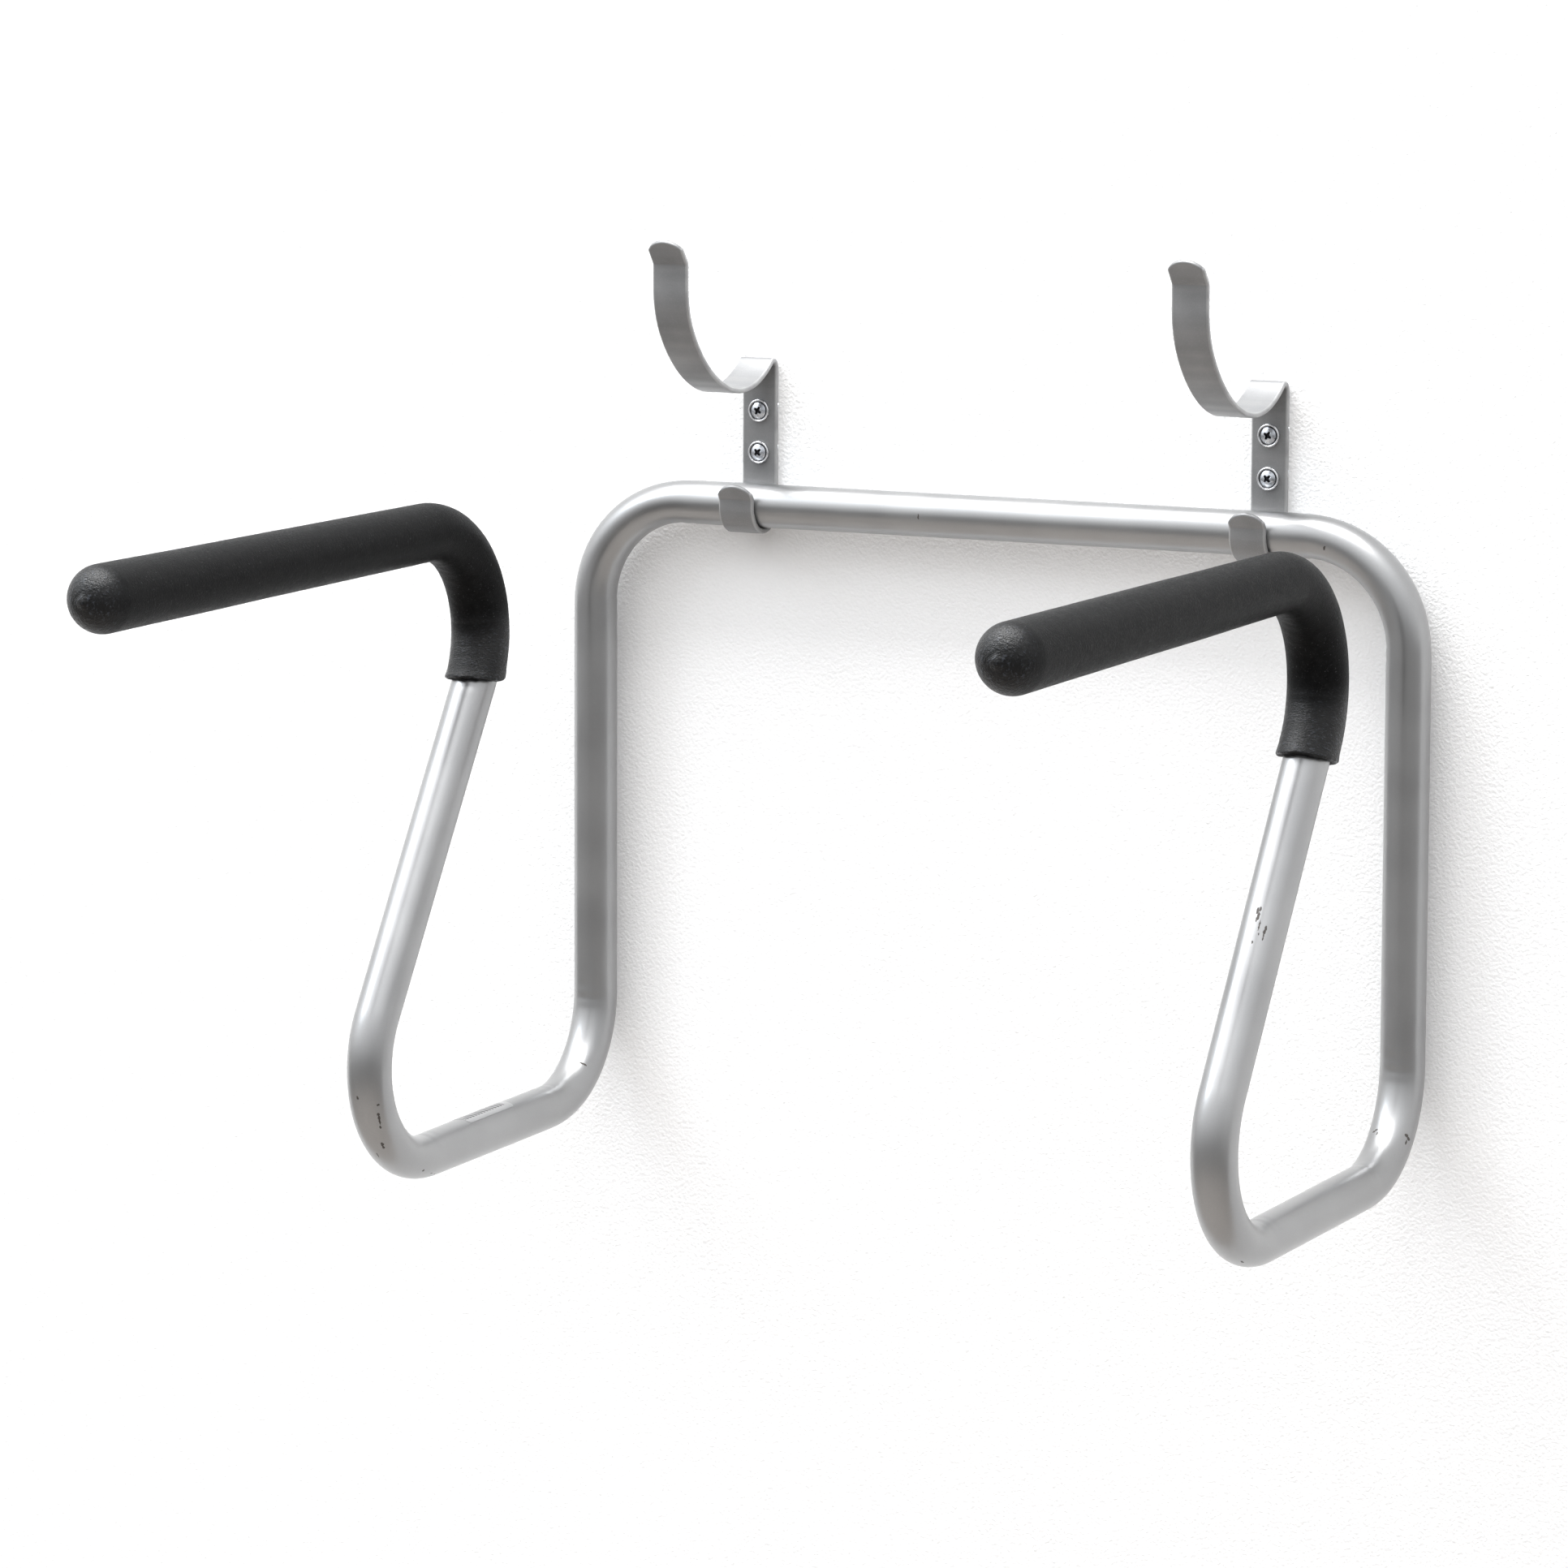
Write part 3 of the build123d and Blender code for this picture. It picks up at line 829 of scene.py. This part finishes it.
def zinc(name, tint, painted_shade_within=0.0):
    """Zinc plate, its colour darkened nearer the axis than this many millimetres: painted shade in the
    washer's cup round the screw head.
    """
    look = Look(name, Metallic=1.0)
    place = look.run()
    cloud = look.grain(place, 2.4, 3.0)
    base = look.mix(look.spread(cloud, 0.3, 0.7), tint, tuple(c * 0.82 for c in tint))
    off_axis = look.length(look.scaled(place, (0.0, 1.0, 1.0)))
    # Painted shade: the colour goes nearly black inside the washer's cup, where the screw head shades it.
    inside = look.spread(off_axis, (painted_shade_within - 0.15) * MM, (painted_shade_within + 0.15) * MM, 0.85, 0.0)
    look.set("Base Color", look.mix(inside, base, (0.06, 0.06, 0.065)))
    look.set("Roughness", look.spread(cloud, 0.25, 0.75, 0.22, 0.36))
    look.set("Normal", look.bump(look.grain(place, 0.5, 2.0), 0.006))
    return look.material


def foam():
    """Black closed-cell foam, dull with pale cells, and shiny and crinkled where gloss is 1, with painted
    glints there: pale bluish specks in the colour that stand for highlights.
    """
    look = Look("foam", Specular_IOR_Level=0.08, Coat_Roughness=0.24)
    place, gloss = look.run(), look.value("gloss")
    cells = look.grain(place, 1.15, 3.0, 0.7)
    cloud = look.grain(look.scaled(place, (0.6, 1.0, 1.0)), 6.0, 4.0, 0.75)
    fine = look.grain(look.scaled(place, (1.0, 0.45, 0.45)), 1.15, 3.0, 0.7)
    base = look.mix(look.spread(cloud, 0.3, 0.7), (0.0010, 0.0011, 0.0013), (0.0055, 0.0058, 0.0060))
    base = look.mix(look.spread(cells, 0.60, 0.74, 0.0, 0.8), base, (0.060, 0.062, 0.064))
    base = look.mix(look.math("MULTIPLY", gloss, 0.7, clamp=True), base, (0.0016, 0.0018, 0.0022))
    # Painted glints: pale bluish specks in the colour where gloss is 1, standing for highlights on the
    # crinkles.
    painted_glint = look.math("MULTIPLY", look.spread(fine, 0.54, 0.68, 0.0, 0.24), gloss)
    rough = look.spread(cells, 0.3, 0.7, 0.42, 0.56)
    rough = look.math("ADD", rough, look.spread(cloud, 0.3, 0.7, -0.03, 0.05))
    crinkle = look.math("MULTIPLY", fine, look.math("ADD", gloss, 0.1))
    normal = look.bump(crinkle, 0.60, look.bump(cells, 0.22))
    look.set("Base Color", look.mix(painted_glint, base, (0.105, 0.118, 0.145)))
    look.set("Roughness", look.math("SUBTRACT", rough, look.math("MULTIPLY", gloss, 0.08)))
    look.set("Coat Weight", look.math("MULTIPLY", gloss, 0.45, clamp=True))
    look.set("Normal", normal)
    look.set("Coat Normal", normal)
    return look.material


def insert_plastic():
    look = Look("insert_plastic")
    fine = look.grain(look.node("ShaderNodeTexCoord", out="Object"), 0.8, 3.0)
    look.set("Base Color", look.mix(fine, (0.015, 0.015, 0.016), (0.03, 0.03, 0.031)))
    look.set("Roughness", look.spread(fine, 0.3, 0.7, 0.4, 0.55))
    look.set("Normal", look.bump(fine, 0.03))
    return look.material


# The label's printed bars: how far apart, how wide for that, and where along and round the film.
BAR_PITCH, BAR_SHARE = 3.1, 0.62
BARS_ALONG, BARS_AROUND = (1.0, 44.5), (-3.0, 2.6)


def label_film():
    """Silver film with one row of plain bars."""
    look = Look("label_film", Metallic=0.85, Coat_Weight=0.2, Coat_Roughness=0.2)
    place = look.run()
    cloud = look.grain(place, 6.0, 2.0)
    base = look.mix(look.spread(cloud, 0.3, 0.7), (0.40, 0.402, 0.405), (0.44, 0.442, 0.445))
    along, across = look.part("X", place), look.part("Y", place)
    beat = look.math("FRACT", look.math("DIVIDE", along, BAR_PITCH * MM))
    bars = look.math("LESS_THAN", beat, BAR_SHARE)
    for (low, high), value in ((BARS_AROUND, across), (BARS_ALONG, along)):
        bars = look.math("MULTIPLY", bars, look.math("GREATER_THAN", value, low * MM))
        bars = look.math("MULTIPLY", bars, look.math("LESS_THAN", value, high * MM))
    look.set("Base Color", look.mix(bars, base, (0.04, 0.04, 0.042)))
    look.set("Roughness", look.spread(cloud, 0.3, 0.7, 0.28, 0.36))
    look.set("Normal", look.bump(look.grain(place, 3.0, 2.0), 0.01))
    return look.material


# ---- camera, light and stage, in metres ---------------------------------------------------------
# The camera, from the middle of the crossbar, and its turn to the side, tilt down and roll in degrees.
CAMERA_FROM_BAR = Vector((1.8276, -3.7284, 0.4209))
CAMERA_TURN, CAMERA_DOWN, CAMERA_ROLL = 27.718, 7.848, 0.202
LENS, SENSOR = 170.168, 36.0


def camera():
    data = bpy.data.cameras.new("camera")
    cam = put_in_scene("camera", data)
    data.sensor_width, data.lens, data.clip_end = SENSOR, LENS, 100
    cam.location = BAR_MIDDLE * MM + CAMERA_FROM_BAR
    cam.rotation_mode = "QUATERNION"
    turns = ((Z, CAMERA_TURN), (X, 90 - CAMERA_DOWN), (Z, CAMERA_ROLL))
    turn, tilt, roll = (Quaternion(axis, math.radians(degrees)) for axis, degrees in turns)
    cam.rotation_quaternion = turn @ tilt @ roll
    bpy.context.scene.camera = cam
    bpy.context.scene.view_settings.view_transform = "Standard"


def area_light(name, place, target, size, power, color=(1, 1, 1)):
    data = bpy.data.lights.new(name, "AREA")
    data.shape = "RECTANGLE"
    data.size, data.size_y = size
    data.energy, data.color = power, color
    back = (Vector(place) - Vector(target)).normalized()
    right = (X - back * X.dot(back)).normalized()
    facing = Matrix((right, back.cross(right), back)).transposed().to_4x4()
    put_in_scene(name, data).matrix_world = Matrix.Translation(place) @ facing


# Colour of the room seen from the object, against the height of the direction from -1 to 1.
ROOM = [(-1.0, (0.34, 0.30, 0.27)), (-0.3, (0.20, 0.197, 0.193)), (-0.08, (0.17, 0.17, 0.17)),
        (0.06, (0.45, 0.45, 0.455)), (0.20, (0.92, 0.925, 0.935)), (0.5, (1.45, 1.46, 1.48)),
        (0.72, (1.95, 1.97, 2.0)), (1.0, (2.1, 2.13, 2.17))]
# It is dimmer to the right than to the left, and brighter out at the two sides.
ROOM_MIDDLE, ROOM_SLOPE, ROOM_SIDES, ROOM_SIDES_POWER = 0.92, -0.28, 0.5, 4.0


def world():
    bpy.context.scene.world = bpy.data.worlds.new("room")
    room = Tree(bpy.context.scene.world, "Background")
    facing = room.node("ShaderNodeTexCoord", out="Generated")
    x, z = room.part("X", facing), room.part("Z", facing)
    color = room.node("ShaderNodeValToRGB", i0=room.math("MULTIPLY_ADD", z, 0.5, 0.5))
    stops = color.node.color_ramp.elements
    stops.remove(stops[1])
    for i, (height, shade) in enumerate(ROOM):
        stop = stops.new((height + 1) / 2) if i else stops[0]
        stop.color = (*shade, 1)
    across = room.math("MULTIPLY_ADD", x, ROOM_SLOPE, ROOM_MIDDLE)
    sides = room.math("POWER", room.math("ABSOLUTE", x), ROOM_SIDES_POWER)
    sides = room.math("MULTIPLY", sides, ROOM_SIDES)
    room.set("Color", room.vector("MULTIPLY_ADD", color, across, sides))


# The wall stands a hair behind its true face, so that it doesn't coincide with the brackets' backs. It
# has a gap behind each plate, which the screws go through.
WALL_Y, WALL_REACH, WALL_TOP, FLOOR_Z = 0.0004, 6.0, 3.0, -1.9
GAP_HALF, GAP_Z = 0.0105, (-0.040, 0.034)
FLOOR_REACH, FLOOR_FADE = 30.0, (2.0, 8.0)


def staged(name, bm, material):
    mesh = bpy.data.meshes.new(name)
    bm.to_mesh(mesh)
    bm.free()
    mesh.materials.append(material)
    return put_in_scene(name, mesh)


def wall_paint():
    """Pebbled white paint, there from the front and clear from behind."""
    look = Look("wall_paint")
    pebble = look.grain(look.node("ShaderNodeTexCoord", out="Object"), 1.8, 2.0)
    front = look.node("ShaderNodeBsdfDiffuse", Normal=look.bump(pebble, 0.5),
                      Color=look.mix(pebble, (0.94, 0.94, 0.94), (0.97, 0.97, 0.97)))
    behind = look.node("ShaderNodeNewGeometry", out="Backfacing")
    both = look.node("ShaderNodeMixShader", Fac=behind, i1=front, i2=look.node("ShaderNodeBsdfTransparent"))
    look.plug(look.nodes["Material Output"].inputs["Surface"], both)
    return look.material


def floor_paint():
    look = Look("floor_paint", Roughness=0.7)
    place = look.node("ShaderNodeTexCoord", out="Object")
    near = look.mix(look.grain(place, 60.0, 2.0), (0.33, 0.305, 0.28), (0.36, 0.33, 0.305))
    # Darker far out: painted shade, a dim floor beyond the lit middle.
    far = look.spread(look.length(place), *FLOOR_FADE)
    look.set("Base Color", look.mix(far, near, (0.15, 0.147, 0.143)))
    return look.material


def stage():
    gaps = [(x * MM - GAP_HALF, x * MM + GAP_HALF) for x in BRACKET_X.values()]
    xs = [-WALL_REACH, *gaps[0], *gaps[1], WALL_REACH]
    zs = [FLOOR_Z, *GAP_Z, WALL_TOP]
    bm = bmesh.new()
    grid = [[bm.verts.new((x, WALL_Y, z)) for x in xs] for z in zs]
    for i, (low_row, high_row) in enumerate(zip(grid, grid[1:])):
        for j in range(len(xs) - 1):
            if not (i == 1 and j in (1, 3)):
                bm.faces.new((low_row[j], low_row[j + 1], high_row[j + 1], high_row[j]))
    wall = staged("wall", bm, wall_paint())
    bm = bmesh.new()
    bmesh.ops.create_grid(bm, x_segments=1, y_segments=1, size=FLOOR_REACH)
    floor = staged("floor", bm, floor_paint())
    floor.location.z = FLOOR_Z


# ---- put it together ----------------------------------------------------------------------------
dress(tube_frame(), tube_paint())
foam_look, bracket_look, insert_look = foam(), bracket_paint(), insert_plastic()
# The cross recesses get nearly black zinc: painted shade inside the recess.
screw_look, shaded_recess_look = zinc("zinc_screw", (0.68, 0.71, 0.76)), zinc("zinc_recess_painted_shade", (0.035, 0.035, 0.04))
washer_look = zinc("zinc_washer", (0.86, 0.87, 0.89), painted_shade_within=5.4)
for side in ("left", "right"):
    dress(foam_grip(side), foam_look)
    dress(wall_bracket(side), bracket_look)
    dress(frame["nodes"][f"tube_end_insert_{side}"], insert_look)
    for level in ("lower", "upper"):
        cup_washer(side, level, washer_look)
        cross_screw(side, level, screw_look, shaded_recess_look)
dress(film_label(), label_film())

camera()
world()
stage()
area_light("key", (-0.45, -0.55, 2.5), (-0.2, -0.2, 0.0), (2.6, 1.0), 142)
area_light("left_window", (-2.5, -1.45, 2.0), (0.0, -0.2, -0.2), (1.4, 1.4), 34, (0.86, 0.93, 1.0))
area_light("rear_fill", (1.0, 2.6, 1.6), (0.0, 0.0, 0.0), (2.5, 2.5), 60)
